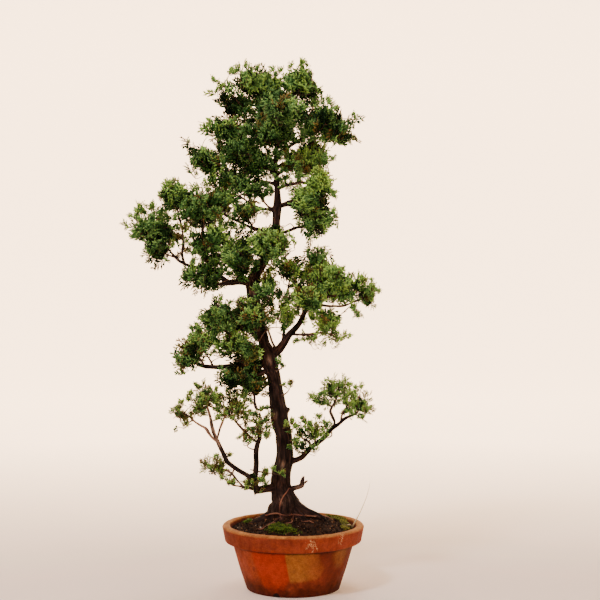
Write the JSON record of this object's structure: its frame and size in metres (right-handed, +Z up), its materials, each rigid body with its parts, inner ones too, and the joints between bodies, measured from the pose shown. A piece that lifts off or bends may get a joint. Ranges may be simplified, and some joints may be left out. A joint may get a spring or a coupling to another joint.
{
  "type": "hinoki cypress bonsai",
  "caption": "Upright potted dwarf conifer with a bare lower trunk, tiered branches and fan-like sprays, standing in a round tapered clay pot with a thick rim.",
  "frame": {"origin": "centre of the pot's flat underside, on the surface it stands on", "axes": "+Z up along the pot's axis and the tree's height, +X to the side of the short right-hand branches, -Y towards the tree's front"},
  "size_m": [0.316, 0.18, 0.665],
  "materials": {
    "terracotta": "matte",
    "soil": "matte",
    "bark": "matte",
    "foliage_young": "satin",
    "foliage": "satin",
    "foliage_rusty": "satin",
    "moss": "matte",
    "straw": "matte",
    "screen_plastic": "satin"
  },
  "bodies": {
    "root": {"clay_pot": "terracotta", "drain_screen_1": "screen_plastic", "drain_screen_2": "screen_plastic", "drain_screen_3": "screen_plastic", "dry_grass_stem": "straw", "foliage_bend_back": "foliage", "foliage_bend_face": "foliage_young", "foliage_crown_back": "foliage", "foliage_crown_front": "foliage", "foliage_crown_heart": "foliage", "foliage_crown_low_left": "foliage", "foliage_crown_middle": "foliage", "foliage_crown_rusty": "foliage_rusty", "foliage_crown_shoulder_left": "foliage", "foliage_crown_shoulder_right": "foliage", "foliage_crown_spike_left": "foliage", "foliage_crown_tier_inner": "foliage", "foliage_crown_tier_left": "foliage", "foliage_crown_top_left": "foliage_young", "foliage_crown_top_right": "foliage_young", "foliage_elbow_back": "foliage", "foliage_elbow_face": "foliage", "foliage_face_left": "foliage_young", "foliage_far_left_tip": "foliage", "foliage_far_left_top": "foliage_young", "foliage_left_cloud": "foliage", "foliage_left_inner": "foliage", "foliage_left_under": "foliage", "foliage_low_left_fringe": "foliage", "foliage_low_left_inner": "foliage", "foliage_low_left_skirt": "foliage", "foliage_low_left_tip": "foliage", "foliage_low_left_top": "foliage", "foliage_low_right_inner": "foliage", "foliage_low_right_tip": "foliage", "foliage_low_right_top": "foliage_young", "foliage_low_stem": "foliage", "foliage_middle_back": "foliage", "foliage_middle_heart": "foliage", "foliage_middle_left": "foliage", "foliage_plume_right": "foliage_young", "foliage_right_back": "foliage", "foliage_right_cloud": "foliage", "foliage_right_face": "foliage_young", "foliage_right_hanging": "foliage_rusty", "foliage_right_low": "foliage", "foliage_right_plume": "foliage", "foliage_right_riser": "foliage", "foliage_right_tip": "foliage", "foliage_riser_thin": "foliage_rusty", "foliage_shade_left": "foliage", "foliage_shoulder_left": "foliage", "foliage_sweep_rusty": "foliage_rusty", "foliage_tuft_thin": "foliage_rusty", "moss_front": "moss", "moss_left": "moss", "moss_right": "moss", "potting_soil": "soil", "trunk_and_branches": "bark"}
  },
  "joints": []
}
